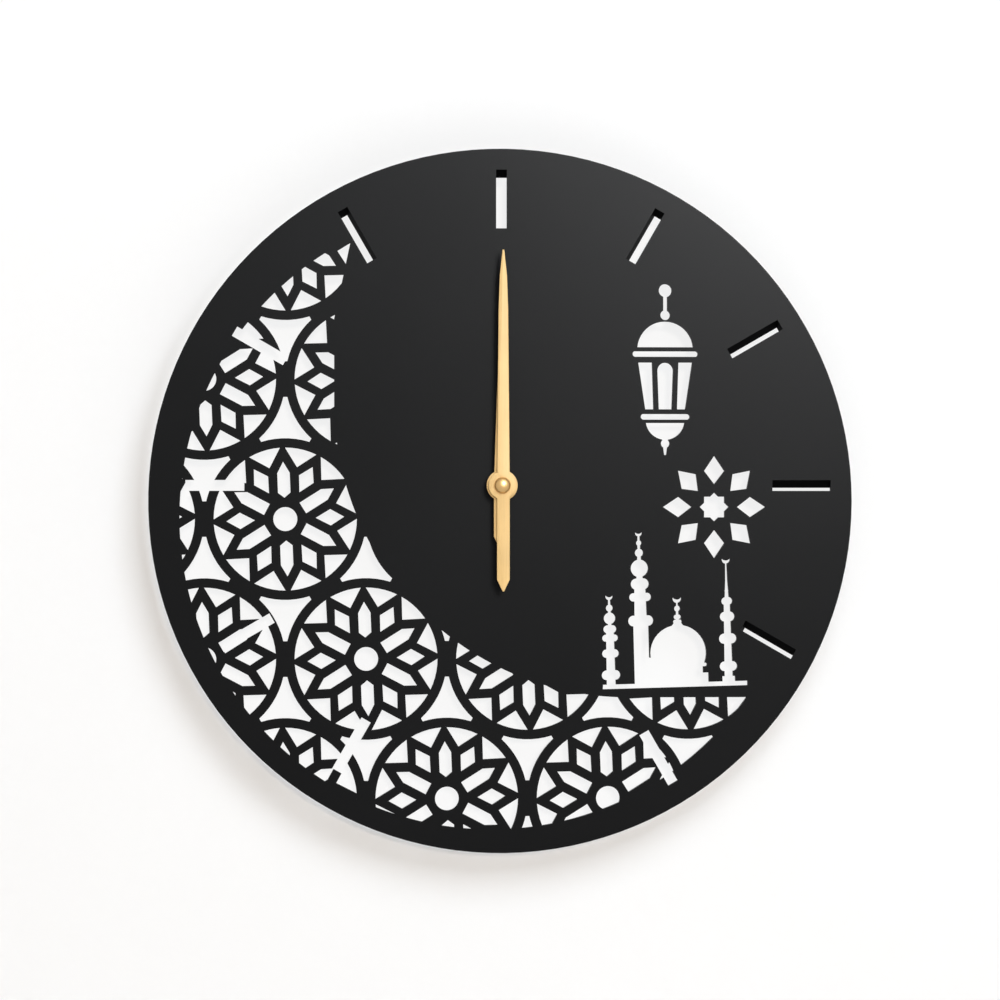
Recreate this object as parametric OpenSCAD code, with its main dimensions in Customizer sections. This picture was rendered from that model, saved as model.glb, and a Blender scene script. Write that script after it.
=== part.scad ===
// Pierced wall clock: a round board cut with a crescent of rosettes, a mosque and hour slots,
// with a pair of hands on a battery quartz movement.
// Every piece is drawn as seen from the front, x to the right and y up, with z running from the
// wall towards the viewer. Then upright() stands it up: the wall is the plane y = 0, the front
// looks along -y, and the origin is where the arbor's axis meets the wall.

/* [Dial] */
// Diameter of the dial board
dial_d = 300; // [250:1:400]
// Thickness of the dial board
dial_t = 3; // [2:0.1:5]
// Height of the arbor above the middle of a board of 300
arbor_rise = 6.6; // [0:0.1:10]

/* [Hour slots] */
// Radius of the ring of slots, about the middle of a board of 300
slot_ring_r = 128.6; // [127:0.1:132]
// Radius of the same ring where the slots lie in the crescent
inner_ring_r = 122; // [118:0.1:128]
// Length of a slot
slot_l = 25; // [10:0.1:27]
// Width of a slot
slot_w = 4.6; // [2:0.1:7]
// Drop of a slot's back below its front, where it is cut on a slope
slot_fall = 3.3; // [0:0.1:4]

/* [Crescent] */
// Radius of the crescent's outer edge
crescent_r = 133.1; // [125:0.1:135]
// Middle of the outer edge, right of the arbor
crescent_x = -3.7; // [-8:0.1:0]
// Middle of the outer edge, above the arbor
crescent_y = -13.5; // [-16:0.1:-10]
// Radius of the crescent's inner edge
moon_r = 125.8; // [115:0.1:130]
// Middle of the inner edge, right of the arbor
moon_x = 54.6; // [45:0.1:65]
// Middle of the inner edge, above the arbor
moon_y = 35.4; // [30:0.1:45]
// Height above the arbor at which the inner edge bends towards the upper horn
horn_bend_y = 71; // [60:1:80]
// Lean of the upper horn from the vertical, in degrees
horn_lean = 12; // [0:1:20]

/* [Lattice] */
// Distance between the middles of two rosettes
lattice_pitch = 68.7; // [60:0.1:80]
// Middle of one rosette, right of the arbor
lattice_x = -57.6; // [-65:0.1:-50]
// Middle of the same rosette, above the arbor
lattice_y = -73.8; // [-80:0.1:-65]
// Turn of each rosette, in degrees
rosette_turn = 2.3; // [-5:0.1:5]
// Inner radius of a rosette's ring
ring_in_r = 30.4; // [28:0.1:32]
// Reach of a gap between three rings, from its middle
gap_reach = 12.3; // [8:0.1:16]
// Radius of the round hole in a rosette
eye_r = 5.1; // [3:0.1:6]
// Half of a petal's width
petal_half = 2.65; // [1.5:0.05:3]
// Half of a rhombus's width
rhombus_half = 3.5; // [2:0.1:4]

/* [Mosque] */
// Ground line, below the arbor
ground_y = -87; // [-89:0.1:-82]
// Lean of the whole silhouette, in degrees
mosque_turn = 1.5; // [-3:0.1:3]
// Radius of the dome
dome_r = 12; // [9:0.1:13]
// Width of the ground line
ground_w = 2; // [1:0.1:3]

/* [Ornaments] */
// Height of the lantern
lantern_h = 73; // [50:1:80]
// Middle of the lantern, right of the arbor
lantern_x = 70; // [60:0.5:75]
// Middle of the lantern, above the arbor
lantern_y = 49.5; // [40:0.5:60]
// Diameter of the star
star_d = 44; // [30:1:46]
// Middle of the star, right of the arbor
star_x = 91; // [85:0.5:92]
// Middle of the star, above the arbor
star_y = -9.2; // [-14:0.1:-5]

/* [Hands] */
// Length of the minute hand from the arbor to its tip
minute_l = 100; // [80:0.1:120]
// Length of the minute hand's tail
minute_tail = 45; // [20:0.1:60]
// Width of the minute hand at its hub
minute_w = 5.4; // [3:0.1:7]
// Middle of the minute hand's blade, right of the arbor
minute_off = 0.4; // [-1:0.1:1]
// Radius of the minute hand's hub
minute_hub_r = 5.9; // [4.5:0.1:7]
// Length of the hour hand from the arbor to its tip
hour_l = 66; // [50:0.1:80]
// Length of the hour hand's tail
hour_tail = 26.5; // [10:0.1:40]
// Width of the hour hand at its hub
hour_w = 5.2; // [3:0.1:7]
// Middle of the hour hand's blade, right of the arbor
hour_off = -0.9; // [-1.5:0.1:1.5]
// Radius of the hour hand's hub
hour_hub_r = 6.6; // [5:0.1:8]
// Thickness of a hand
hand_t = 0.7; // [0.4:0.1:1]
// Radius of the domed nut
nut_dome_r = 3.6; // [2.6:0.1:4.5]

/* [Movement] */
// Side of the square case
case_w = 56; // [50:0.5:64]
// Depth of the case
case_depth = 16.5; // [16.5:0.1:20]
// Thickness of the case's walls
case_wall = 1.2; // [1:0.1:1.6]
// Radius of the case's corners
case_corner = 3.4; // [2:0.1:3.6]
// Thickness of the back cover
cover_t = 1.2; // [1:0.1:1.6]
// Radius of the threaded bush
bush_r = 4; // [3.8:0.1:5]
// Radius of the minute arbor
arbor_r = 1.6; // [1.4:0.05:1.8]
// Wall of the hour tube
tube_wall = 0.9; // [0.5:0.05:1]
// Radius of the nail hole in the hanger
nail_r = 4; // [3:0.1:5]
// Radius of the setting knob
knob_r = 5.5; // [4:0.1:6]
// Radius of the battery
battery_r = 7.1; // [6.5:0.1:7.2]
// Room for a contact at each end of the battery
contact_room = 1.7; // [1.5:0.1:2.5]

/* [Gears] */
// Thickness of a wheel
gear_t = 0.7; // [0.5:0.05:0.9]
// Depth from one layer of wheels to the next
layer_step = 1.45; // [1.4:0.01:1.5]
// Radial clearance of a running fit
running = 0.06; // [0.03:0.01:0.1]
// Clearance between fixed pieces
clear = 0.2; // [0.1:0.05:0.3]

/* [Hidden] */
$fn = 72;

dial_r = dial_d / 2;
ring_out_r = lattice_pitch / 2;

// All that is cut in the board is drawn for a diameter of 300, and grows or shrinks with it about the arbor
picture = dial_d / 300;

// The stack in front of the case, each depth taken from the one behind it
rubber_t = 1;
washer_t = 0.5;
hex_nut_t = 2;
thread_spare = 0.5;
tube_spare = 2.2;
hand_gap = 1.7;
dial_z = case_depth + rubber_t;
washer_z = dial_z + dial_t;
hex_nut_z = washer_z + washer_t;
bush_end = hex_nut_z + hex_nut_t + thread_spare;
hour_hand_z = bush_end + tube_spare - hand_t;
hour_tube_end = hour_hand_z + hand_t;
minute_hand_z = hour_hand_z + hand_t + hand_gap;
hand_nut_z = minute_hand_z + hand_t;
hand_nut_h = 2.9;
stud_l = 1.6;
collet_t = 1.1;
collet_r = 3.1;

// Round the arbor
tube_bore_r = arbor_r + running;
tube_r = tube_bore_r + tube_wall;
bush_bore_r = tube_r + running;
washer_r = bush_r + 1.9;
hex_nut_r = bush_r + 2.1;
rubber_r = 12;
flange_r = bush_r + 1.5;
flange_t = 0.7;
seconds_r = 0.55;
arbor_bore_r = seconds_r + running;
clutch_r = arbor_r - 0.4;
stud_r = arbor_r - 0.2;

// Layers of wheels, counted from the front wall of the case
front_z = case_depth - case_wall;
end_shake = 0.3;
pinion_over = 0.25;
pivot_r = 0.3;
arbor_thin = 0.5;
rotor_thin = 0.4;
pivot_in = 0.7;
bridge_t = 1;
bridge_z = cover_t + 1.9;
bridge_face = bridge_z + bridge_t;

// Battery bay, at the foot of the case, and the divider above it
case_in = case_w / 2 - case_wall;
battery_l = 2 * (case_in - contact_room);
battery_y = -case_in + battery_r + clear;
battery_z = front_z - battery_r - clear;
divider_t = 1;
bay_top = battery_y + battery_r + clear;
divider_y = bay_top + divider_t;
contact_t = 0.4;
contact_w = 5;
nub_r = 2.7;
nub_l = 1.2;

// Coil, under the top wall of the case, and the stator's plate below it
coil_r = 2.9;
coil_gap = 0.9;
coil_y = case_in - coil_gap - coil_r;
stator_above = 4.4;
stator_below = 4.6;
stator_gap = 0.5;
rotor_y = coil_y - coil_r - stator_gap - stator_above;
stator_y = [rotor_y - stator_below, rotor_y + stator_above];

// Directions from one arbor to the next
motion_dir = 180;
third_dir = 10;
intermediate_dir = 115;
rotor_dir = 75;

// Teeth: a wheel and the pinion that drives it share a module, set by the distance of their arbors
cannon_n = 10;
motion_n = 30;
motion_pinion_n = 8;
hour_n = 32;
knob_n = 12;
seconds_pinion_n = 8;
third_n = 60;
third_pinion_n = 8;
centre_n = 64;
intermediate_pinion_n = 8;
seconds_n = 32;
rotor_n = 6;
intermediate_n = 45;

// Distances: the centre wheel stands clear of the divider, and the rotor lies in the stator
tooth_add = 0.85;
centre_gap = 1.9;
motion_a = 8;
third_a = (-divider_y - centre_gap) * (third_pinion_n + centre_n) / (centre_n + 2 * tooth_add);
rotor_share = 0.6375;
intermediate_a = rotor_y / (sin(intermediate_dir) + rotor_share * sin(rotor_dir));
rotor_a = rotor_share * intermediate_a;
cannon_m = pair_module(motion_a, cannon_n, motion_n);
hour_m = pair_module(motion_a, motion_pinion_n, hour_n);
third_m = pair_module(third_a, seconds_pinion_n, third_n);
centre_m = pair_module(third_a, third_pinion_n, centre_n);
seconds_m = pair_module(intermediate_a, intermediate_pinion_n, seconds_n);
rotor_m = pair_module(rotor_a, rotor_n, intermediate_n);
knob_a = cannon_m * (knob_n + motion_n) / 2;

// Cup of the setting knob, clear of the divider
knob_cup_r = knob_r + 0.7;
knob_cup_wall = 1;
cup_gap = 1.1;
knob_y = divider_y + cup_gap + knob_cup_r + knob_cup_wall;
knob_dir = 180 - asin(knob_y / knob_a);

// Where the arbors stand round the middle one
motion_at = polar(motion_a, motion_dir);
third_at = polar(third_a, third_dir);
intermediate_at = polar(intermediate_a, intermediate_dir);
rotor_at = intermediate_at + polar(rotor_a, rotor_dir);
knob_at = motion_at + polar(knob_a, knob_dir);

// Turn of each wheel, so that a tooth of one stands in a gap of the other
motion_phase = meshed(0, cannon_n, motion_n, motion_dir);
hour_phase = meshed(0, motion_pinion_n, hour_n, motion_dir + 180);
knob_phase = meshed(motion_phase, motion_n, knob_n, knob_dir);
third_phase = meshed(0, seconds_pinion_n, third_n, third_dir);
centre_phase = meshed(0, third_pinion_n, centre_n, third_dir + 180);
seconds_phase = meshed(0, intermediate_pinion_n, seconds_n, intermediate_dir + 180);
intermediate_phase = meshed(0, rotor_n, intermediate_n, rotor_dir + 180);

// Posts that carry the bridge, the stator and the board
bridge_post_r = 1.1;
bridge_rim = 1.4;
post_gap = 0.6;
bridge_posts = [
    [15.5, 14.5],
    [-12.5, stator_y[0] - bridge_post_r - post_gap],
    [14.6, divider_y + clear + bridge_post_r + bridge_rim]
];
stator_z = bridge_face + 1;
stator_t = 1;
magnet_r = 3;
magnet_t = 2;
magnet_z = bridge_face + 0.5;
rotor_hole_r = magnet_r + 0.4;
stator_x = [-14, 12];
stator_leg = 4;
core_t = 1;
core_half = 1;
core_z = stator_z - core_t;
coil_x = [stator_x[0] + stator_leg + 0.4, stator_x[1] - stator_leg - 0.4];
spool_wall = 0.5;
spool_flange = 0.7;
board_x = [18.5, case_in - 0.5];
board_y = [divider_y + 1, case_in - 6.8];
board_t = 0.8;
board_z = bridge_z;
knob_t = 1.5;
knob_sunk = 0.4;
knob_shaft_r = 1.2;
cup_floor_z = knob_sunk + knob_t + clear;
cup_floor_t = 1;

// Hanger
hanger_t = 1.5;
hanger_w = 16;
hanger_foot = 6;
hanger_rim = 3.4;
hanger_eye_y = case_w / 2 + nail_r + 2;

/* Colours, as the photograph shows them or as such parts come. */
BLACK = "#2b2b2c";
GOLD = "#e6bf72";
BRASS = "#c9a54e";
STEEL = "#b8bcc0";
WHITE_PLASTIC = "#e9e6dc";
CASE_PLASTIC = "#26282a";

// Helpers

function polar(r, a) = [r * cos(a), r * sin(a)];

function pair_module(a, n1, n2) = 2 * a / (n1 + n2);

// Turn of the second wheel of a pair, when the first has a tooth at phase and the second lies at dir from it
function meshed(phase, n1, n2, dir) = dir + 180 + (180 - (phase - dir) * n1) / n2;

function layer_z(i) = front_z - end_shake - gear_t - (i - 1) * layer_step;

function involute(a) = tan(a) * 180 / PI - a;

// Half of a tooth's angle at radius r, for a tooth that fills share of its pitch
function tooth_half(r, n, m, share) =
    let (base_r = n * m / 2 * cos(20), at = max(r, base_r))
    share * 180 / n + involute(20) - involute(acos(base_r / at));

module upright() {
    rotate([90, 0, 0]) children();
}

module at_depth(z, t) {
    translate([0, 0, z]) linear_extrude(t) children();
}

// Toothed disc: thin involute teeth, standing apart from those they mesh with
module gear_2d(n, m, phase, share = 0.4, addendum = tooth_add, dedendum = 1.2) {
    pitch_r = n * m / 2;
    root_r = pitch_r - dedendum * m;
    tip_r = pitch_r + addendum * m;
    flank = [root_r, max(root_r + 0.1 * m, pitch_r * cos(20)), pitch_r + 0.2 * m, tip_r];
    polygon([
        for (i = [0 : n - 1])
        for (side = [-1, 1])
        for (k = [0 : 3])
        let (r = flank[side < 0 ? k : 3 - k])
        polar(r, phase + i * 360 / n + side * tooth_half(r, n, m, share))
    ]);
}

module wheel(layer, n, m, phase) {
    at_depth(layer_z(layer), gear_t) gear_2d(n, m, phase);
}

module pinion(layer, n, m, phase) {
    at_depth(layer_z(layer) - pinion_over, gear_t + 2 * pinion_over) gear_2d(n, m, phase);
}

module disc(z, t, r) {
    translate([0, 0, z]) cylinder(h = t, r = r);
}

// Arbor from the bridge to the front wall, with a thin pivot at each end
module pivoted_arbor(r) {
    disc(bridge_face + clear, front_z - bridge_face - 2 * clear, r);
    disc(bridge_z + clear, front_z + pivot_in - bridge_z - clear, pivot_r);
}

module rounded_square(w, r) {
    translate([r - w / 2, r - w / 2]) offset(r) square(w - 2 * r);
}

// Dial: the crescent's lattice

// Reaches in a rosette, from its middle
petal_foot = 8.8;
petal_point = 9.1;
petal_waist = 11.2;
petal_shoulder = 19.6;
petal_tip = 24.4;
rhombus_foot = 12.9;
rhombus_waist = 19.2;
rhombus_tip = 25;
window_foot = 22.6;

module petal(pointed) {
    inner = pointed ? [[petal_point, 0], [petal_waist, petal_half]] : [[petal_foot, petal_half]];
    outer = [[petal_shoulder, petal_half], [petal_tip, 0]];
    half = concat(inner, outer);
    far_half = [for (i = [len(half) - 1 : -1 : 0]) [half[i][0], -half[i][1]]];
    polygon(concat(half, far_half));
}

module rhombus() {
    polygon([
        [rhombus_foot, 0], [rhombus_waist, rhombus_half], [rhombus_tip, 0], [rhombus_waist, -rhombus_half]
    ]);
}

// Curved triangle against the ring, between two of the bands that run out to it
module ring_window() {
    corner = 13;
    intersection() {
        circle(r = ring_in_r);
        polygon([
            [window_foot, 0],
            polar(ring_in_r, -corner), [ring_in_r / cos(corner), 0], polar(ring_in_r, corner)
        ]);
    }
}

module rosette() {
    circle(r = eye_r);
    for (k = [0 : 5]) {
        rotate(60 * k) rhombus();
        rotate(60 * k + 30) petal(k % 3 == 1);
        for (side = [-15, 15]) rotate(60 * k + side) ring_window();
    }
}

// Gap between three rings that touch
module ring_gap() {
    difference() {
        circle(r = gap_reach);
        for (k = [0 : 2]) rotate(120 * k + 90) translate([lattice_pitch / sqrt(3), 0]) circle(r = ring_out_r);
    }
}

function lattice_at(i, j) = [
    lattice_x + lattice_pitch * (i + j / 2),
    lattice_y + lattice_pitch * j * sqrt(3) / 2
];

function off_crescent(p) = norm(p - [crescent_x, crescent_y]);

module lattice() {
    gap_rise = lattice_pitch / (2 * sqrt(3));
    for (j = [-1 : 3])
    for (i = [-4 : 3])
    let (p = lattice_at(i, j)) {
        if (off_crescent(p) < crescent_r + ring_out_r) translate(p) rotate(rosette_turn) rosette();
        for (up = [0, 1])
        let (g = p + [lattice_pitch / 2, up == 1 ? gap_rise : -gap_rise])
        if (off_crescent(g) < crescent_r + gap_reach) translate(g) rotate(up == 1 ? 0 : 180) ring_gap();
    }
}

// Field of the crescent: a round, less the moon, the flat over the mosque and the side of the upper horn
module crescent() {
    side_x = moon_x - moon_r;
    reach = 2 * crescent_r;
    difference() {
        translate([crescent_x, crescent_y]) circle(r = crescent_r);
        translate([moon_x, moon_y]) circle(r = moon_r);
        translate([moon_x, moon_y - moon_r]) square(reach);
        translate([side_x, moon_y]) square([reach, horn_bend_y - moon_y]);
        translate([side_x, horn_bend_y])
            polygon([[0, 0], reach * [tan(horn_lean), 1], [reach, reach], [reach, 0]]);
    }
}

// Dial: hour slots, on rays from the arbor and on a ring about the middle of the board

field_hours = [11, 12, 1, 2, 3, 4];
outer_lattice_hours = [5];
inner_lattice_hours = [7, 8, 9, 10];

// Distance from the arbor to a ring of slots, along the ray of an hour
function slot_at(a, ring_r) =
    let (drop = arbor_rise * sin(a))
    sqrt(ring_r ^ 2 - arbor_rise ^ 2 + drop ^ 2) - drop;

module hour_slots(hours, ring_r) {
    for (h = hours)
    let (a = 90 - 30 * h)
    rotate(a) translate([slot_at(a, ring_r) - slot_l / 2, -slot_w / 2]) square([slot_l, slot_w]);
}

// Lets a cut fall as it goes back through the board, so that the slot's upper wall shows in front
module sloped() {
    slope = slot_fall / dial_t;
    front = dial_z + dial_t;
    multmatrix([[1, 0, 0, 0], [0, 1, slope, -slope * front], [0, 0, 1, 0], [0, 0, 0, 1]]) children();
}

// Dial: the mosque

// Rounded bar across a minaret
module balcony(y, half_w, half_h) {
    for (side = [-1, 1]) translate([side * (half_w - half_h), y]) circle(r = half_h);
    translate([half_h - half_w, y - half_h]) square([2 * (half_w - half_h), 2 * half_h]);
}

// Slim upright from y1 to y2, with its half width at each end
module shaft(y1, y2, half_1, half_2) {
    polygon([[-half_1, y1], [half_1, y1], [half_2, y2], [-half_2, y2]]);
}

module bead(y, r) {
    translate([0, y]) circle(r = r);
}

// Small crescent on its back, on the tip of a spire
module finial_moon(y, r) {
    translate([0, y + r]) difference() {
        circle(r = r);
        translate([0, 0.75 * r]) circle(r = r);
    }
}

// Heights in the silhouette run up from its ground line
module short_minaret() {
    shaft(0, 27, 2, 1.7);
    shaft(0, 1.6, 3.8, 3.6);
    balcony(6, 4, 2.1);
    balcony(15.2, 3.6, 1.8);
    balcony(21.8, 3.4, 1.5);
    balcony(25.6, 2.8, 1.7);
    bead(30.2, 2.5);
    bead(34.6, 1.5);
    shaft(26, 38.4, 0.9, 0.5);
    finial_moon(38, 1.6);
}

module tall_minaret() {
    shaft(0, 30, 3.3, 3.3);
    shaft(30, 46, 2.7, 2.4);
    balcony(28.8, 5.4, 2.3);
    balcony(38.9, 4.7, 1.8);
    balcony(44.5, 3.9, 2.4);
    bead(51.2, 3.75);
    shaft(46, 60, 1.5, 0.6);
    bead(57.8, 1.8);
    bead(62, 1.2);
    shaft(60, 65.2, 0.7, 0.5);
    finial_moon(64.8, 1.5);
}

module slim_minaret() {
    shaft(0, 37, 1.9, 1.4);
    shaft(0, 4.2, 2.8, 2.8);
    balcony(8.4, 3.8, 2.1);
    balcony(20.2, 3.8, 2.2);
    balcony(29.6, 3.2, 2.1);
    balcony(36.2, 2.4, 1.7);
    bead(40.6, 0.9);
    shaft(37, 46, 1, 0.5);
    shaft(45, 52.6, 0.55, 0.4);
    finial_moon(52.2, 1.8);
}

module dome() {
    hall_half = dome_r + 0.8;
    step_h = 6;
    drum_half = dome_r - 1.5;
    drum_h = dome_r + 2.8;
    dome_y = 14.6;
    translate([-hall_half, 0]) square([2 * hall_half, step_h]);
    translate([-drum_half, 0]) square([2 * drum_half, drum_h]);
    balcony(step_h + 3.4, dome_r + 0.2, 0.8);
    translate([0, dome_y]) circle(r = dome_r);
    top = dome_y + dome_r;
    shaft(top - 1.2, top + 1, 3.2, 1.6);
    balcony(top + 1.4, 1.9, 0.9);
    balcony(top + 3.4, 1.6, 1);
    shaft(top, top + 9.6, 0.9, 0.4);
    bead(top + 7, 1.3);
    finial_moon(top + 9.4, 1.9);
}

mosque_left = 43.4;
mosque_w = 62;
hall_h = 13;
short_minaret_x = 47;
tall_minaret_x = 60.3;
dome_x = 76;
slim_minaret_x = 97.4;

module mosque() {
    translate([mosque_left, ground_y]) rotate(mosque_turn) {
        square([mosque_w, ground_w]);
        translate([short_minaret_x - mosque_left, 0]) short_minaret();
        translate([tall_minaret_x - mosque_left, 0]) tall_minaret();
        translate([dome_x - mosque_left, 0]) dome();
        translate([slim_minaret_x - mosque_left, 0]) slim_minaret();
        translate([tall_minaret_x - mosque_left, 0]) square([dome_x - tall_minaret_x, hall_h]);
    }
}

// Dial: hanging lantern, drawn 73 high about its middle and brought to its height
lantern_unit_h = 73;

module lantern_windows() {
    bead(33.7, 2.8);
    shaft(24, 32, 0.9, 0.9);
    bead(23.2, 2.1);
    intersection() {
        translate([0, 8.5]) circle(r = 12);
        translate([-13, 9.5]) square(26);
    }
    balcony(6.6, 14, 1.2);
    translate([0, -0.5]) circle(r = 3.4);
    shaft(-17, -0.5, 2.8, 3.4);
    for (side = [0, 1]) mirror([side, 0])
        polygon([[5, -17], [8.6, -17], [11.6, 3], [5.6, 3]]);
    balcony(-20.2, 10.5, 1.2);
    intersection() {
        translate([0, -21.6]) circle(r = 8.4);
        translate([-9, -40]) square([18, 17.2]);
    }
    shaft(-36.5, -29, 0.5, 1.5);
    bead(-31.6, 1.9);
}

module lantern() {
    translate([lantern_x, lantern_y]) scale(lantern_h / lantern_unit_h) lantern_windows();
}

// Dial: star of eight points, in eight kites round a small star
module star() {
    star_r = star_d / 2;
    kite = [[0.44, 0], [0.7, 0.2], [1, 0], [0.7, -0.2]];
    heart = 0.4;
    translate([star_x, star_y]) {
        for (k = [0 : 7]) rotate(45 * k) polygon(star_r * kite);
        for (k = [0, 1]) rotate(45 * k) square(heart * star_r, center = true);
    }
}

module dial_plate() {
    color(BLACK) upright() difference() {
        at_depth(dial_z, dial_t) difference() {
            translate([0, -picture * arbor_rise]) circle(r = dial_r, $fn = 180);
            circle(r = bush_r + clear);
            scale(picture) {
                hour_slots(outer_lattice_hours, slot_ring_r);
                hour_slots(inner_lattice_hours, inner_ring_r);
                mosque();
                lantern();
                star();
                intersection() {
                    crescent();
                    lattice();
                }
            }
        }
        sloped() at_depth(dial_z - clear, dial_t + 2 * clear)
            scale(picture) hour_slots(field_hours, slot_ring_r);
    }
}

// Hands

// Flat hand: half widths run from the tip down to the tail, about a blade set off from the arbor
module hand_2d(halves, hub_r, off) {
    left = [for (i = [len(halves) - 1 : -1 : 0]) [-halves[i][0], halves[i][1]]];
    translate([off, 0]) polygon(concat(halves, left));
    circle(r = hub_r);
}

module collet(z, bore_r) {
    at_depth(z, collet_t) difference() {
        circle(r = collet_r);
        circle(r = bore_r);
    }
}

module hour_hand() {
    half = hour_w / 2;
    outline = [[0.4, hour_l], [half, 0], [half, 4.7 - hour_tail], [0.3, -hour_tail]];
    color(GOLD) upright() {
        at_depth(hour_hand_z, hand_t) difference() {
            hand_2d(outline, hour_hub_r, hour_off);
            circle(r = tube_r);
        }
        collet(hour_hand_z - collet_t, tube_r);
    }
}

module minute_hand() {
    half = minute_w / 2;
    outline = [
        [0.4, minute_l], [1, minute_l - 5.6], [1.55, minute_l - 11.1], [2.05, minute_l - 25.6],
        [half, 0], [half, 5 - minute_tail], [0.3, -minute_tail]
    ];
    color(GOLD) upright() {
        at_depth(minute_hand_z, hand_t) difference() {
            hand_2d(outline, minute_hub_r, minute_off);
            circle(r = stud_r);
        }
        collet(minute_hand_z - collet_t, arbor_r);
    }
}

// Domed nut, screwed on the stud at the end of the minute arbor
module hand_nut() {
    skirt = 1.1;
    crown = hand_nut_h - skirt;
    dome_ball = (nut_dome_r ^ 2 + crown ^ 2) / (2 * crown);
    color(GOLD) upright() translate([0, 0, hand_nut_z]) difference() {
        union() {
            cylinder(h = skirt, r = nut_dome_r);
            intersection() {
                translate([0, 0, hand_nut_h - dome_ball]) sphere(r = dome_ball);
                translate([0, 0, skirt]) cylinder(h = crown, r = nut_dome_r);
            }
        }
        translate([0, 0, -clear]) cylinder(h = stud_l + 2 * clear, r = stud_r);
    }
}

// What holds the movement to the dial

module threaded_bush() {
    color(BRASS) upright() difference() {
        union() {
            disc(front_z, bush_end - front_z, bush_r);
            disc(case_depth, flange_t, flange_r);
        }
        disc(front_z - 1, bush_end - front_z + 2, bush_bore_r);
    }
}

module rubber_washer() {
    color("#1c1c1c") upright() at_depth(case_depth, rubber_t) difference() {
        circle(r = rubber_r);
        circle(r = flange_r + clear);
    }
}

module fixing_washer() {
    color(BRASS) upright() at_depth(washer_z, washer_t) difference() {
        circle(r = washer_r);
        circle(r = bush_r + running);
    }
}

module hex_nut() {
    color(BRASS) upright() at_depth(hex_nut_z, hex_nut_t) difference() {
        circle(r = hex_nut_r, $fn = 6);
        circle(r = bush_r + running);
    }
}

// Case of the movement

module post(at, r, z1, z2) {
    translate(at) disc(z1, z2 - z1, r);
}

// Small boss inside the front wall, drilled for a pivot
module pivot_hole(at) {
    translate(at) disc(front_z - clear, pivot_in + 2 * clear, pivot_r + running);
}

stator_posts = [for (x = stator_x) [x + (x < 0 ? 1 : -1) * stator_leg / 2, stator_y[1] - 2]];
board_posts = [for (y = [board_y[0] + 3, board_y[1] - 3]) [(board_x[0] + board_x[1]) / 2 + 1, y]];
motion_stud_r = 0.7;
motion_hub_r = motion_stud_r + 0.4;
motion_stud_end = layer_z(2) - 0.1;

module movement_case() {
    stand_r = 1.2;
    color(CASE_PLASTIC) upright() difference() {
        union() {
            difference() {
                linear_extrude(case_depth) rounded_square(case_w, case_corner);
                translate([0, 0, -1]) linear_extrude(front_z + 1)
                    rounded_square(case_w - 2 * case_wall, case_corner - case_wall);
            }
            translate([-case_in, bay_top, cover_t]) cube([2 * case_in, divider_t, front_z - cover_t]);
            for (p = bridge_posts) post(p, bridge_post_r, bridge_face, front_z);
            for (p = stator_posts) post(p, stand_r, stator_z + stator_t, front_z);
            for (p = board_posts) post(p, stand_r, board_z + board_t, front_z);
            post(motion_at, motion_stud_r, motion_stud_end, front_z);
        }
        disc(front_z - 1, case_wall + 2, bush_r);
        for (p = [third_at, intermediate_at, rotor_at, knob_at]) pivot_hole(p);
        translate([-hanger_w / 2, case_w / 2 - hanger_foot, -1])
            cube([hanger_w, hanger_foot + 1, hanger_t + 1]);
        for (side = [0, 1]) mirror([side, 0, 0])
            translate([case_in - 2 * contact_t, bay_top - 1, battery_z - contact_w / 2 - clear])
                cube([2 * contact_t, divider_t + 2, contact_w + 2 * clear]);
    }
}

// Cover over the gear room, with a cup for the knob and a notch for the hanger
module back_cover() {
    top = case_in - clear;
    low = bay_top + clear;
    color(CASE_PLASTIC) upright() difference() {
        union() {
            linear_extrude(cover_t) difference() {
                intersection() {
                    rounded_square(2 * top, case_corner - case_wall);
                    translate([-top, low]) square([2 * top, top - low]);
                }
                translate([-hanger_w / 2 - clear, case_w / 2 - hanger_foot - clear])
                    square([hanger_w + 2 * clear, hanger_foot]);
            }
            translate(knob_at) cylinder(h = cup_floor_z + cup_floor_t, r = knob_cup_r + knob_cup_wall);
        }
        translate(knob_at) disc(-1, cup_floor_z + 1, knob_cup_r);
        translate(knob_at) disc(0, cup_floor_z + cup_floor_t + 1, knob_shaft_r + running);
    }
}

// Flat eye let into the back of the case
module hanger() {
    eye_r = nail_r + hanger_rim;
    color(STEEL) upright() linear_extrude(hanger_t) difference() {
        union() {
            translate([-hanger_w / 2, case_w / 2 - hanger_foot])
                square([hanger_w, hanger_foot]);
            translate([-eye_r, case_w / 2]) square([2 * eye_r, hanger_eye_y - case_w / 2]);
            translate([0, hanger_eye_y]) circle(r = eye_r);
        }
        translate([0, hanger_eye_y]) circle(r = nail_r);
    }
}

// Motion work: from the minute arbor to the hour tube

module hour_wheel() {
    back = layer_z(1);
    color(WHITE_PLASTIC) upright() difference() {
        union() {
            wheel(1, hour_n, hour_m, hour_phase);
            disc(back, hour_tube_end - back, tube_r);
        }
        disc(back - 1, hour_tube_end - back + 2, tube_bore_r);
    }
}

module motion_wheel() {
    color(WHITE_PLASTIC) upright() translate(motion_at) difference() {
        union() {
            wheel(2, motion_n, cannon_m, motion_phase);
            disc(layer_z(2), layer_z(1) - layer_z(2), motion_hub_r);
            pinion(1, motion_pinion_n, hour_m, 0);
        }
        disc(layer_z(2) - 1, front_z - layer_z(2) + 1, motion_stud_r + running);
    }
}

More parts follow.
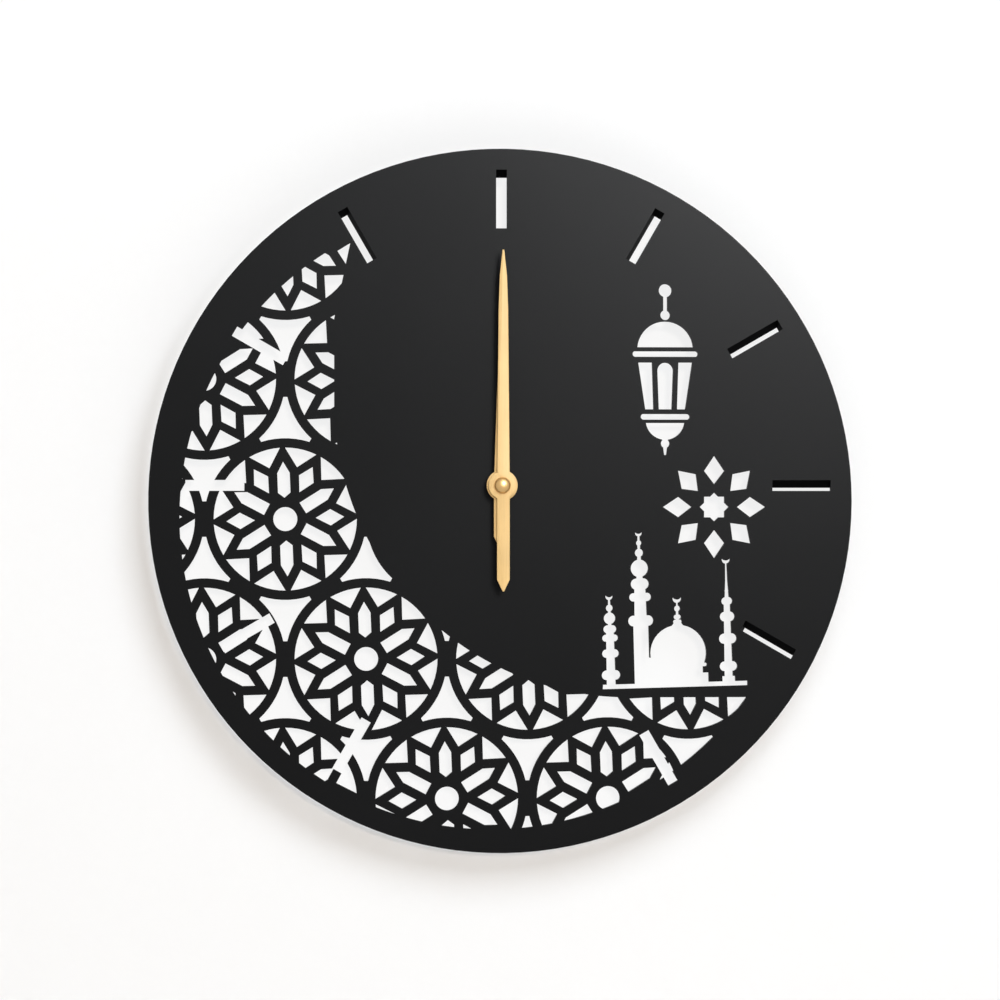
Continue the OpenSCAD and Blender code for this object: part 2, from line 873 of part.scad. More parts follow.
module minute_arbor() {
    seat_z = layer_z(3) - clear;
    shoulder_z = layer_z(3) + gear_t + running;
    color(BRASS) upright() difference() {
        union() {
            pinion(2, cannon_n, cannon_m, 0);
            disc(seat_z, shoulder_z - seat_z, clutch_r);
            disc(shoulder_z, minute_hand_z - shoulder_z, arbor_r);
            disc(minute_hand_z, hand_t + stud_l, stud_r);
        }
        disc(seat_z - 1, minute_hand_z - seat_z - 1, arbor_bore_r);
    }
}

module setting_knob() {
    grips = 24;
    grip_r = 0.5;
    color(CASE_PLASTIC) upright() translate(knob_at) {
        pinion(2, knob_n, cannon_m, knob_phase);
        disc(knob_sunk, front_z - clear - knob_sunk, knob_shaft_r);
        disc(layer_z(2), front_z + pivot_in - layer_z(2), pivot_r);
        at_depth(knob_sunk, knob_t) difference() {
            circle(r = knob_r);
            for (k = [0 : grips - 1]) rotate(k * 360 / grips) translate([knob_r, 0]) circle(r = grip_r);
        }
    }
}

// Going train: from the rotor to the centre wheel

module centre_wheel() {
    color(WHITE_PLASTIC) upright() difference() {
        wheel(3, centre_n, centre_m, centre_phase);
        disc(layer_z(3) - 1, gear_t + 2, clutch_r + running);
    }
}

module third_wheel() {
    color(WHITE_PLASTIC) upright() translate(third_at) {
        wheel(4, third_n, third_m, third_phase);
        pinion(3, third_pinion_n, centre_m, 0);
        pivoted_arbor(arbor_thin);
    }
}

module seconds_wheel() {
    tip_z = minute_hand_z - 3;
    hub_z = layer_z(4) + gear_t + pinion_over;
    color(WHITE_PLASTIC) upright() {
        wheel(5, seconds_n, seconds_m, seconds_phase);
        pinion(4, seconds_pinion_n, third_m, 0);
        disc(bridge_face + clear, hub_z - bridge_face - clear, arbor_thin);
        disc(bridge_z + clear, hub_z - bridge_z - clear, pivot_r);
        disc(layer_z(4), tip_z - layer_z(4), seconds_r);
    }
}

module intermediate_wheel() {
    color(WHITE_PLASTIC) upright() translate(intermediate_at) {
        wheel(6, intermediate_n, rotor_m, intermediate_phase);
        pinion(5, intermediate_pinion_n, seconds_m, 0);
        pivoted_arbor(arbor_thin);
    }
}

rotor_sleeve_r = 0.9;

module rotor_pinion() {
    color(WHITE_PLASTIC) upright() translate(rotor_at) {
        pinion(6, rotor_n, rotor_m, 0);
        disc(magnet_z, magnet_t, rotor_sleeve_r);
        pivoted_arbor(rotor_thin);
    }
}

module rotor_magnet() {
    color("#5c5f63") upright() translate(rotor_at) at_depth(magnet_z, magnet_t) difference() {
        circle(r = magnet_r);
        circle(r = rotor_sleeve_r);
    }
}

module gear_bridge() {
    corners = concat(bridge_posts, [rotor_at, intermediate_at]);
    color(WHITE_PLASTIC) upright() at_depth(bridge_z, bridge_t) difference() {
        hull() {
            for (p = corners) translate(p) circle(r = bridge_post_r + bridge_rim);
        }
        for (p = [[0, 0], third_at, intermediate_at, rotor_at]) translate(p) circle(r = pivot_r + running);
    }
}

// Motor and circuit

module stator() {
    color(STEEL) upright() at_depth(stator_z, stator_t) difference() {
        union() {
            translate([stator_x[0], stator_y[0]])
                square([stator_x[1] - stator_x[0], stator_y[1] - stator_y[0]]);
            for (x = [stator_x[0], stator_x[1] - stator_leg])
                translate([x, stator_y[0]]) square([stator_leg, coil_y + core_half - stator_y[0]]);
        }
        translate(rotor_at) circle(r = rotor_hole_r);
        for (side = [45, 225]) translate(rotor_at + polar(rotor_hole_r, side)) circle(r = 0.5);
    }
}

module coil_core() {
    color(STEEL) upright() at_depth(core_z, core_t)
        translate([stator_x[0], coil_y - core_half])
            square([stator_x[1] - stator_x[0], 2 * core_half]);
}

// Turns a round about y into one along the coil
module along_coil(x) {
    translate([x, coil_y, core_z + core_t / 2]) rotate([0, 90, 0]) children();
}

module core_hole() {
    translate([coil_x[0] - 1, coil_y - core_half, core_z])
        cube([coil_x[1] - coil_x[0] + 2, 2 * core_half, core_t]);
}

spool_r = norm([core_half, core_t / 2]) + spool_wall;

module coil_bobbin() {
    long = coil_x[1] - coil_x[0];
    color(WHITE_PLASTIC) upright() difference() {
        union() {
            along_coil(coil_x[0]) cylinder(h = long, r = spool_r);
            along_coil(coil_x[0]) cylinder(h = spool_flange, r = coil_r);
            along_coil(coil_x[1] - spool_flange) cylinder(h = spool_flange, r = coil_r);
        }
        core_hole();
    }
}

module coil_winding() {
    long = coil_x[1] - coil_x[0] - 2 * spool_flange;
    fill = coil_r - 0.3;
    color("#b06a35") upright() difference() {
        along_coil(coil_x[0] + spool_flange) cylinder(h = long, r = fill);
        along_coil(coil_x[0]) cylinder(h = long + 2 * spool_flange, r = spool_r);
    }
}

module circuit_board() {
    color("#2e6b3f") upright() at_depth(board_z, board_t) translate([board_x[0], board_y[0]])
        square([board_x[1] - board_x[0], board_y[1] - board_y[0]]);
}

chip_r = 2.6;
chip_h = 1;
chip_at = [(board_x[0] + board_x[1]) / 2, board_y[0] + 9];

// Drop of sealing resin over the chip, on the back of the board
module chip() {
    ball = (chip_r ^ 2 + chip_h ^ 2) / (2 * chip_h);
    color("#151515") upright() intersection() {
        translate([chip_at[0], chip_at[1], board_z - chip_h + ball]) sphere(r = ball);
        translate(chip_at) disc(board_z - chip_h, chip_h, chip_r);
    }
}

module quartz_crystal() {
    can_r = 0.8;
    can_l = 6;
    color(STEEL) upright()
        translate([chip_at[0], chip_at[1] + chip_r + 2, board_z - can_r]) rotate([-90, 0, 0])
            cylinder(h = can_l, r = can_r);
}

// Battery and its contacts: the nub points right

battery_x = -battery_l / 2;

module battery() {
    body_l = battery_l - nub_l;
    color("#b9bdc2") upright() translate([battery_x, battery_y, battery_z]) rotate([0, 90, 0]) {
        cylinder(h = body_l, r = battery_r);
        cylinder(h = battery_l, r = nub_r);
    }
}

// Strip bent to press on one end of the battery, with a tail up the wall and through the divider
module contact(side) {
    end = battery_l / 2;
    leaf_top = 4;
    leaf_foot = -2.4;
    bend = 2;
    tail_top = divider_y - battery_y + 3;
    mirror([side, 0, 0]) translate([0, battery_y, battery_z - contact_w / 2]) linear_extrude(contact_w)
        polygon([
            [end, leaf_top], [end, leaf_foot], [case_in, leaf_foot - bend], [case_in, tail_top],
            [case_in - contact_t, tail_top], [case_in - contact_t, leaf_foot - bend / 2],
            [end + contact_t, leaf_foot + bend / 4], [end + contact_t, leaf_top]
        ]);
}

module positive_contact() {
    color(STEEL) upright() contact(0);
}

module negative_contact() {
    color(STEEL) upright() contact(1);
}

dial_plate();
hour_hand();
minute_hand();
hand_nut();
movement_case();
back_cover();
hanger();
threaded_bush();
rubber_washer();
fixing_washer();
hex_nut();
hour_wheel();
motion_wheel();
minute_arbor();
centre_wheel();
third_wheel();
seconds_wheel();
intermediate_wheel();
rotor_pinion();
rotor_magnet();
gear_bridge();
stator();
coil_core();
coil_bobbin();
coil_winding();
circuit_board();
chip();
quartz_crystal();
battery();
positive_contact();
negative_contact();
setting_knob();
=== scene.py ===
"""Looks of a pierced wall clock.

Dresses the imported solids, works the hands, nuts, cell and cover as new pieces, and lights the wall.
"""

import logging
import math
from abc import ABC, abstractmethod
from dataclasses import dataclass, field
from enum import Enum
from typing import Any, Callable, Iterable, Sequence, Union

import bpy
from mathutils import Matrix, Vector


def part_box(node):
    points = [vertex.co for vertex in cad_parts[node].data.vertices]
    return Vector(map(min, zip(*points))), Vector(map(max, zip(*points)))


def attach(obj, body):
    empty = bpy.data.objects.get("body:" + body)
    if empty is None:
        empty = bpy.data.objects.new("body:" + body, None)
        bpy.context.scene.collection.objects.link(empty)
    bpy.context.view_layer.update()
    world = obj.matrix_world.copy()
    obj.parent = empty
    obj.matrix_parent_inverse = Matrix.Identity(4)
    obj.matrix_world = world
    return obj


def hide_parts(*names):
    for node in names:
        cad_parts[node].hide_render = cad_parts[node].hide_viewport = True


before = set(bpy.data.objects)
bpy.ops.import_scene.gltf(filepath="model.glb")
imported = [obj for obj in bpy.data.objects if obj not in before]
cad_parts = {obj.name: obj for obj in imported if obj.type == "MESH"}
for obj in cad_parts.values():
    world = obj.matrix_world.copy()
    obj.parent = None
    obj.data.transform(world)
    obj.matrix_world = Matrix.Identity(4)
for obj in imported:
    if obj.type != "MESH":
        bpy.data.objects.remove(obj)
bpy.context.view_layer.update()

LOG = logging.getLogger("wall_clock")
MM = 0.001
QUARTER_TURN = math.pi / 2
# Points nearer than this count as one
MERGE_GAP = 0.001 * MM
# Faces that meet at less than this are joined into one
FLAT_ANGLE = math.radians(0.5)
# Least share of a normal along an axis for a face that looks along it
STRAIGHT_ON = 0.99
# Scale of a wave pattern that gives one band a metre
BAND_SCALE = 0.314

Colour = tuple[float, float, float]
Point = tuple[float, float, float]
WHITE: Colour = (1.0, 1.0, 1.0)
COOL: Colour = (0.91, 1.0, 1.09)
WARM: Colour = (1.09, 1.0, 0.91)
EVEN: Point = (1.0, 1.0, 1.0)


class Axis(Enum):
    """An axis of the frame, by its number in a point."""

    X = 0
    Y = 1


class LampKind(Enum):
    """The kinds of lamp in the studio."""

    SOFTBOX = "AREA"
    SUN = "SUN"


class Bands(Enum):
    """Which way a banded pattern runs, and how each band rises."""

    TURNS = ("X", "SIN")
    TRACKS = ("DIAGONAL", "SAW")


class Part(Enum):
    """The CAD bodies that the new pieces ride on."""

    MOVEMENT = "movement"
    MINUTE = "minute"
    HOUR = "hour"


class Sock:
    """A shader value that Python sums can use."""

    def __init__(self, shader: "Nodes", socket: bpy.types.NodeSocket) -> None:
        """Keeps the tree's wrapper beside the socket."""
        self.shader = shader
        self.socket = socket

    def _math(self, operation: str, first: "Operand", second: "Operand") -> "Sock":
        """Adds a Math node of an operation on two operands."""
        return self.shader.node("ShaderNodeMath", {"operation": operation}, {0: first, 1: second})

    def __add__(self, other: "Operand") -> "Sock":
        """self + other."""
        return self._math("ADD", self, other)

    def __radd__(self, other: "Operand") -> "Sock":
        """other + self."""
        return self._math("ADD", other, self)

    def __sub__(self, other: "Operand") -> "Sock":
        """self - other."""
        return self._math("SUBTRACT", self, other)

    def __rsub__(self, other: "Operand") -> "Sock":
        """other - self."""
        return self._math("SUBTRACT", other, self)

    def __mul__(self, other: "Operand") -> "Sock":
        """self * other."""
        return self._math("MULTIPLY", self, other)

    def __rmul__(self, other: "Operand") -> "Sock":
        """other * self."""
        return self._math("MULTIPLY", other, self)

    def __gt__(self, other: "Operand") -> "Sock":
        """1 where self is over other, else 0."""
        return self._math("GREATER_THAN", self, other)

    def __abs__(self) -> "Sock":
        """Size of the value, without its sign."""
        return self._math("ABSOLUTE", self, 0.0)


Operand = Union[Sock, float]
Tone = Union[Sock, Colour]


class Nodes:
    """The node tree of a material or of the world."""

    def __init__(self, tree: bpy.types.NodeTree) -> None:
        """Keeps the tree."""
        self.tree = tree

    def find(self, kind: str) -> bpy.types.Node:
        """The first node of a type that is already in the tree."""
        return next(n for n in self.tree.nodes if n.type == kind)

    def node(
        self,
        kind: str,
        settings: dict[str, Any],
        inputs: dict[Union[str, int], Any],
        output: Union[str, int] = 0,
    ) -> Sock:
        """Adds a node.

        Args:
            kind: The node's type.
            settings: Its properties; "stops" are the places and colours of a ramp.
            inputs: Values or links of its sockets, by name or number.
            output: The socket that is wanted.

        Returns:
            The wanted output.
        """
        made = self.tree.nodes.new(kind)
        for key, value in settings.items():
            if key == "stops":
                self._stops(made.color_ramp, value)
            else:
                setattr(made, key, value)
        for key, value in inputs.items():
            self.feed(made.inputs[key], value)
        return Sock(self, made.outputs[output])

    def feed(self, socket: bpy.types.NodeSocket, value: Any) -> None:
        """Links a Sock to a socket, or sets the socket's own value.

        Args:
            socket: The socket to feed.
            value: A Sock, or a plain number, colour or vector.
        """
        if isinstance(value, Sock):
            self.tree.links.new(value.socket, socket)
        else:
            socket.default_value = value

    @staticmethod
    def _stops(ramp: bpy.types.ColorRamp, stops: Sequence[tuple[float, Colour]]) -> None:
        """Sets a ramp's stops.

        Args:
            ramp: The ramp of a node.
            stops: Place and colour of each stop.
        """
        while len(ramp.elements) < len(stops):
            ramp.elements.new(1.0)
        for element, (place, colour) in zip(ramp.elements, stops):
            element.position = place
            element.color = (*colour, 1.0)

    def seen(self) -> Sock:
        """Tells the rays of the eye from those that only light things.

        Returns:
            1 for rays that are seen straight, in gloss or through glass, else 0.
        """
        rays = [f"Is {ray} Ray" for ray in ("Camera", "Glossy", "Transmission")]
        camera, glossy, through = (self.node("ShaderNodeLightPath", {}, {}, ray) for ray in rays)
        return camera + glossy + through


class Shader(Nodes):
    """The node tree of one material, with a Principled shader in it."""

    def __init__(self, name: str) -> None:
        """Starts a material.

        Args:
            name: The material's name.
        """
        self.material = bpy.data.materials.new(name)
        self.material.use_nodes = True
        super().__init__(self.material.node_tree)
        self.principled = self.find("BSDF_PRINCIPLED")
        self.output = self.find("OUTPUT_MATERIAL")

    def surface(self, **values: Any) -> bpy.types.Material:
        """Feeds the Principled shader.

        Args:
            **values: What feeds each socket, its name written with _ for a space.

        Returns:
            The finished material.
        """
        for key, value in values.items():
            self.feed(self.principled.inputs[key.replace("_", " ")], value)
        return self.material

    def place(self, scale: Point = EVEN) -> Sock:
        """Object coordinates, scaled along X, Y and Z."""
        coordinates = self.node("ShaderNodeTexCoord", {}, {}, "Object")
        return self.node("ShaderNodeVectorMath", {"operation": "MULTIPLY"}, {0: coordinates, 1: scale})

    def along(self, axis: Axis) -> Sock:
        """Object coordinate along one axis, in metres."""
        return self.node("ShaderNodeSeparateXYZ", {}, {0: self.place()}, axis.value)

    def facing(self, axis: Axis) -> Sock:
        """1 where the surface faces along the axis, either way, and 0 where it runs along it."""
        normal = self.node("ShaderNodeTexCoord", {}, {}, "Normal")
        return abs(self.node("ShaderNodeSeparateXYZ", {}, {0: normal}, axis.value))

    def noise(self, size: float, detail: float = 2.0, stretch: Point = EVEN) -> Sock:
        """Cloudy noise from 0 to 1.

        Args:
            size: Size of a cloud, in metres.
            detail: How many finer layers it has.
            stretch: Scale along X, Y and Z.

        Returns:
            The noise.
        """
        inputs = {"Vector": self.place(stretch), "Scale": 1 / size, "Detail": detail}
        return self.node("ShaderNodeTexNoise", {"noise_dimensions": "3D"}, inputs, "Fac")

    def bands(self, form: Bands, pitch: float, waver: float, waver_scale: float = 1.0) -> Sock:
        """Banded pattern from 0 to 1.

        Args:
            form: Which way the bands run, and how they rise.
            pitch: About the width of a band, in metres.
            waver: How far the bands stray from straight.
            waver_scale: How fine that straying is.

        Returns:
            The pattern.
        """
        direction, profile = form.value
        settings = {"wave_type": "BANDS", "bands_direction": direction, "wave_profile": profile}
        inputs = {
            "Vector": self.place(),
            "Scale": BAND_SCALE / pitch,
            "Distortion": waver,
            "Detail Scale": waver_scale,
        }
        return self.node("ShaderNodeTexWave", settings, inputs, "Fac")

    def mottle(
        self,
        mask: Sock,
        colour: Colour,
        dark: float,
        light: float = 1.0,
        span: tuple[float, float] = (0.3, 0.7),
    ) -> Sock:
        """A colour that runs from dark to light with a mask.

        Args:
            mask: What it follows.
            colour: The colour.
            dark: The colour's factor where the mask is low.
            light: Its factor where the mask is high.
            span: Values of the mask between which it runs.

        Returns:
            The colour.
        """
        low, high = span
        stops = ((low, _shade(colour, dark)), (high, _shade(colour, light)))
        return self.node("ShaderNodeValToRGB", {"stops": stops}, {"Fac": mask}, "Color")

    def mix(self, mask: Sock, low: Tone, high: Tone) -> Sock:
        """Colour low where mask is 0, and high where it is 1."""
        ends = {"Factor": mask, 6: _opaque(low), 7: _opaque(high)}
        return self.node("ShaderNodeMix", {"data_type": "RGBA"}, ends, 2)

    def bump(self, height: Sock, depth: float, strength: float) -> Sock:
        """A bumped normal.

        Args:
            height: Height from 0 to 1.
            depth: What a height of 1 stands for, in metres.
            strength: Share of the bump that shows.

        Returns:
            The normal.
        """
        sockets = {"Height": height, "Distance": depth, "Strength": strength}
        return self.node("ShaderNodeBump", {}, sockets, "Normal")


def _opaque(colour: Tone) -> Any:
    """Adds an alpha of 1 to a plain colour, and leaves a link as it is."""
    return colour if isinstance(colour, Sock) else (*colour, 1.0)


def _shade(colour: Colour, factor: float) -> Colour:
    """The colour times a factor."""
    red, green, blue = colour
    return red * factor, green * factor, blue * factor


def _swing(middle: Operand, mask: Sock, reach: float) -> Sock:
    """A value that strays half of reach to each side of its middle as the mask goes from 0 to 1."""
    return middle + (mask - 0.5) * reach


@dataclass(frozen=True)
class SatinBlack:
    """Black sheet with a fine satin face; its cut walls reflect nothing, as painted shade."""

    name: str = "satin_black"
    colour: Colour = (0.0012, 0.0012, 0.0014)
    dark: float = 0.9
    light: float = 1.12
    cloud: float = 80 * MM
    face_least: float = 0.9
    face_roughness: float = 0.34
    wall_roughness: float = 0.6
    roughness_reach: float = 0.08
    specular: float = 0.105
    grain: float = 0.6 * MM
    grain_depth: float = 0.02 * MM
    grain_show: float = 0.5

    def material(self) -> bpy.types.Material:
        """Makes the material.

        Returns:
            The material.
        """
        shader = Shader(self.name)
        cloud = shader.noise(self.cloud, detail=3.0)
        face = shader.facing(Axis.Y) > self.face_least
        rough = self.wall_roughness + face * (self.face_roughness - self.wall_roughness)
        return shader.surface(
            Base_Color=shader.mottle(cloud, self.colour, self.dark, self.light),
            Roughness=_swing(rough, cloud, self.roughness_reach),
            # Painted shade: the cut walls become metal of this near-black colour, so they reflect nothing
            # and show as dark bands in the slots
            Metallic=1 - face,
            Normal=shader.bump(shader.noise(self.grain), self.grain_depth, self.grain_show),
            Specular_IOR_Level=self.specular,
        )


@dataclass(frozen=True)
class Metal:
    """Worked metal: fine lines along one way, and faint cloudy tarnish."""

    name: str
    colour: Colour
    roughness: float
    tarnish: float = 0.12
    metallic: float = 1.0
    line: float = 0.2 * MM
    stretch: Point = EVEN
    line_depth: float = 0.004 * MM
    line_show: float = 0.6
    cloud: float = 12 * MM
    streak_span: tuple[float, float] = (0.35, 0.65)
    roughness_reach: float = 0.12

    def material(self) -> bpy.types.Material:
        """Makes the material.

        Returns:
            The material.
        """
        shader = Shader(self.name)
        lines = shader.noise(self.line, stretch=self.stretch)
        streak = (shader.noise(self.cloud, detail=3.0) + lines) * 0.5
        return shader.surface(
            Base_Color=shader.mottle(streak, self.colour, 1 - self.tarnish, span=self.streak_span),
            Metallic=self.metallic,
            Roughness=_swing(self.roughness, lines, self.roughness_reach),
            Normal=shader.bump(lines, self.line_depth, self.line_show),
        )


@dataclass(frozen=True)
class Moulding:
    """Moulded plastic or rubber with a fine grain."""

    name: str
    colour: Colour
    roughness: float
    grain: float
    grain_depth: float
    grain_show: float = 0.6
    cloud: float = 10 * MM
    dark: float = 0.92
    light: float = 1.06
    roughness_reach: float = 0.1

    def material(self) -> bpy.types.Material:
        """Makes the material.

        Returns:
            The material.
        """
        shader = Shader(self.name)
        grain = shader.noise(self.grain, detail=1.0)
        cloud = shader.noise(self.cloud, detail=3.0)
        return shader.surface(
            Base_Color=shader.mottle(cloud, self.colour, self.dark, self.light),
            Roughness=_swing(self.roughness, cloud, self.roughness_reach),
            Normal=shader.bump(grain, self.grain_depth, self.grain_show),
        )


@dataclass(frozen=True)
class WoundWire:
    """Enamelled wire wound in even turns along X, with painted shade in the grooves between turns."""

    name: str = "wound_wire"
    colour: Colour = (0.43, 0.14, 0.05)
    dark: float = 0.35
    span: tuple[float, float] = (0.1, 0.6)
    pitch: float = 0.3 * MM
    waver: float = 0.4
    metallic: float = 0.8
    roughness: float = 0.3
    enamel: float = 0.5
    turn_depth: float = 0.1 * MM
    turn_show: float = 0.8

    def material(self) -> bpy.types.Material:
        """Makes the material.

        Returns:
            The material.
        """
        shader = Shader(self.name)
        turns = shader.bands(Bands.TURNS, self.pitch, self.waver)
        return shader.surface(
            # Painted shade: the colour drops to a third in the troughs between the turns
            Base_Color=shader.mottle(turns, self.colour, self.dark, span=self.span),
            Metallic=self.metallic,
            Roughness=self.roughness,
            Coat_Weight=self.enamel,
            Normal=shader.bump(turns, self.turn_depth, self.turn_show),
        )


@dataclass(frozen=True)
class CircuitLacquer:
    """Green lacquer over etched tracks."""

    name: str = "circuit_lacquer"
    colour: Colour = (0.02, 0.12, 0.04)
    track_colour: Colour = (0.05, 0.24, 0.08)
    track_pitch: float = 2.6 * MM
    track_from: float = 0.6
    waver: float = 3.0
    waver_scale: float = 0.4
    roughness: float = 0.28
    track_roughness: float = 0.38
    track_depth: float = 0.03 * MM
    track_show: float = 0.5

    def material(self) -> bpy.types.Material:
        """Makes the material.

        Returns:
            The material.
        """
        shader = Shader(self.name)
        bands = shader.bands(Bands.TRACKS, self.track_pitch, self.waver, self.waver_scale)
        tracks = bands > self.track_from
        return shader.surface(
            Base_Color=shader.mix(tracks, self.colour, self.track_colour),
            Roughness=self.roughness + tracks * (self.track_roughness - self.roughness),
            Normal=shader.bump(tracks, self.track_depth, self.track_show),
        )


@dataclass(frozen=True)
class CellWrap:
    """Plain shrink wrap of a dry cell: two colours that meet near the nub, over bright ends."""

    body_from: float
    body_to: float
    band_from: float
    name: str = "cell_wrap"
    body: Colour = (0.035, 0.036, 0.04)
    band: Colour = (0.52, 0.3, 0.1)
    steel: Colour = (0.62, 0.63, 0.65)
    wrap_metallic: float = 0.25
    wrap_gloss: float = 0.4
    roughness: float = 0.24
    scuff: float = 2 * MM
    scuff_roughness: float = 0.16
    scuff_depth: float = 0.01 * MM
    scuff_show: float = 0.4

    def material(self) -> bpy.types.Material:
        """Makes the material.

        Returns:
            The material.
        """
        shader = Shader(self.name)
        x = shader.along(Axis.X)
        wrapped = (x > self.body_from) * (1 - (x > self.body_to))
        colours = shader.mix(x > self.band_from, self.body, self.band)
        scuff = shader.noise(self.scuff, detail=4.0)
        return shader.surface(
            Base_Color=shader.mix(wrapped, self.steel, colours),
            Metallic=1 - wrapped * (1 - self.wrap_metallic),
            Roughness=self.roughness + scuff * self.scuff_roughness,
            Coat_Weight=wrapped * self.wrap_gloss,
            Normal=shader.bump(scuff, self.scuff_depth, self.scuff_show),
        )


@dataclass(frozen=True)
class Plaster:
    """Pale matt paint with a faint roller nap."""

    name: str
    colour: Colour = (0.93, 0.93, 0.93)
    dark: float = 0.995
    roughness: float = 0.85
    specular: float = 0.1
    nap: float = 4 * MM
    nap_depth: float = 0.02 * MM
    nap_show: float = 0.2

    def shader(self) -> Shader:
        """Starts the paint.

        Returns:
            The shader, with its Principled sockets fed.
        """
        shader = Shader(self.name)
        nap = shader.noise(self.nap, detail=3.0)
        shader.surface(
            Base_Color=shader.mottle(nap, self.colour, self.dark),
            Roughness=self.roughness,
            Normal=shader.bump(nap, self.nap_depth, self.nap_show),
            Specular_IOR_Level=self.specular,
        )
        return shader


HAND_GOLD = Metal(
    "hand_gold",
    (0.82, 0.545, 0.22),
    roughness=0.55,
    metallic=0.06,
    line=0.6 * MM,
    stretch=(1.0, 1.0, 0.03),
    line_depth=0.003 * MM,
)
POLISHED_GOLD = Metal(
    "polished_gold",
    (0.63, 0.4, 0.165),
    roughness=0.37,
    tarnish=0.05,
    line=0.4 * MM,
    line_depth=0.001 * MM,
)
TURNED_BRASS = Metal(
    "turned_brass", (0.62, 0.44, 0.15), roughness=0.3, tarnish=0.2, stretch=(1.0, 0.2, 1.0)
)
PRESSED_STEEL = Metal(
    "pressed_steel",
    (0.58, 0.6, 0.63),
    roughness=0.34,
    tarnish=0.15,
    line=0.3 * MM,
    stretch=(0.05, 1.0, 1.0),
    line_depth=0.005 * MM,
)
SINTERED_MAGNET = Metal(
    "sintered_magnet",
    (0.12, 0.125, 0.13),
    roughness=0.55,
    tarnish=0.3,
    line=0.4 * MM,
    line_depth=0.02 * MM,
)
CASE_BLACK = Moulding(
    "case_moulding", (0.022, 0.023, 0.025), roughness=0.46, grain=0.6 * MM, grain_depth=0.03 * MM
)
GEAR_WHITE = Moulding(
    "gear_moulding", (0.8, 0.78, 0.7), roughness=0.42, grain=0.5 * MM, grain_depth=0.01 * MM
)
WASHER_RUBBER = Moulding(
    "washer_rubber", (0.014, 0.014, 0.014), roughness=0.8, grain=0.5 * MM, grain_depth=0.04 * MM
)
SEALING_RESIN = Moulding(
    "sealing_resin", (0.008, 0.008, 0.009), roughness=0.16, grain=2 * MM, grain_depth=0.06 * MM
)


def pick(obj: bpy.types.Object) -> None:
    """Makes obj the only selected and active object.

    Args:
        obj: The object.
    """
    bpy.ops.object.select_all(action="DESELECT")
    obj.select_set(True)
    bpy.context.view_layer.objects.active = obj


def fix_place(obj: bpy.types.Object) -> None:
    """Puts the place, turn and scale of obj into its mesh."""
    pick(obj)
    bpy.ops.object.transform_apply(location=True, rotation=True, scale=True)


def worked_copy(node: str, name: str) -> bpy.types.Object:
    """Copies a CAD node's mesh into a new piece, with its loose triangles merged.

    Args:
        node: The CAD node.
        name: Name of the new piece.

    Returns:
        The new piece.
    """
    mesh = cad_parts[node].data.copy()
    mesh.name = name
    obj = bpy.data.objects.new(name, mesh)
    bpy.context.scene.collection.objects.link(obj)
    pick(obj)
    bpy.ops.object.mode_set(mode="EDIT")
    bpy.ops.mesh.select_all(action="SELECT")
    bpy.ops.mesh.customdata_custom_splitnormals_clear()
    bpy.ops.mesh.remove_doubles(threshold=MERGE_GAP)
    bpy.ops.mesh.dissolve_limited(angle_limit=FLAT_ANGLE)
    bpy.ops.object.mode_set(mode="OBJECT")
    return obj


def smooth(obj: bpy.types.Object, degrees: float) -> None:
    """Shades obj smooth, apart from edges sharper than an angle."""
    pick(obj)
    bpy.ops.object.shade_smooth_by_angle(angle=math.radians(degrees))


def select_faces(obj: bpy.types.Object, test: Callable[[bpy.types.MeshPolygon], bool]) -> None:
    """Selects the faces that pass a test, and nothing else.

    Args:
        obj: A mesh object in object mode.
        test: Says whether a face is wanted.
    """
    pick(obj)
    bpy.ops.object.mode_set(mode="EDIT")
    bpy.ops.mesh.select_mode(type="FACE")
    bpy.ops.mesh.select_all(action="DESELECT")
    bpy.ops.object.mode_set(mode="OBJECT")
    for polygon in obj.data.polygons:
        polygon.select = test(polygon)


def chamfer_front(obj: bpy.types.Object, width: float, segments: int) -> None:
    """Bevels the edges of the faces that look to the front.

    Args:
        obj: A flat piece that faces along -Y.
        width: Width of the bevel, in metres.
        segments: Facets across the bevel.
    """
    front = min(v.co.y for v in obj.data.vertices)
    select_faces(obj, lambda p: p.normal.y < -STRAIGHT_ON and p.center.y < front + MERGE_GAP)
    bpy.ops.object.mode_set(mode="EDIT")
    bpy.ops.mesh.region_to_loop()
    bpy.ops.mesh.bevel(offset=width, segments=segments, affect="EDGES", clamp_overlap=True)
    bpy.ops.object.mode_set(mode="OBJECT")


def carve(obj: bpy.types.Object, cutter: bpy.types.Object) -> None:
    """Takes a cutter out of obj and deletes the cutter.

    Args:
        obj: The piece to cut.
        cutter: The block to take out.
    """
    pick(obj)
    cut = obj.modifiers.new("cut", "BOOLEAN")
    cut.operation = "DIFFERENCE"
    cut.solver = "EXACT"
    cut.object = cutter
    bpy.ops.object.modifier_apply(modifier=cut.name)
    bpy.data.objects.remove(cutter)


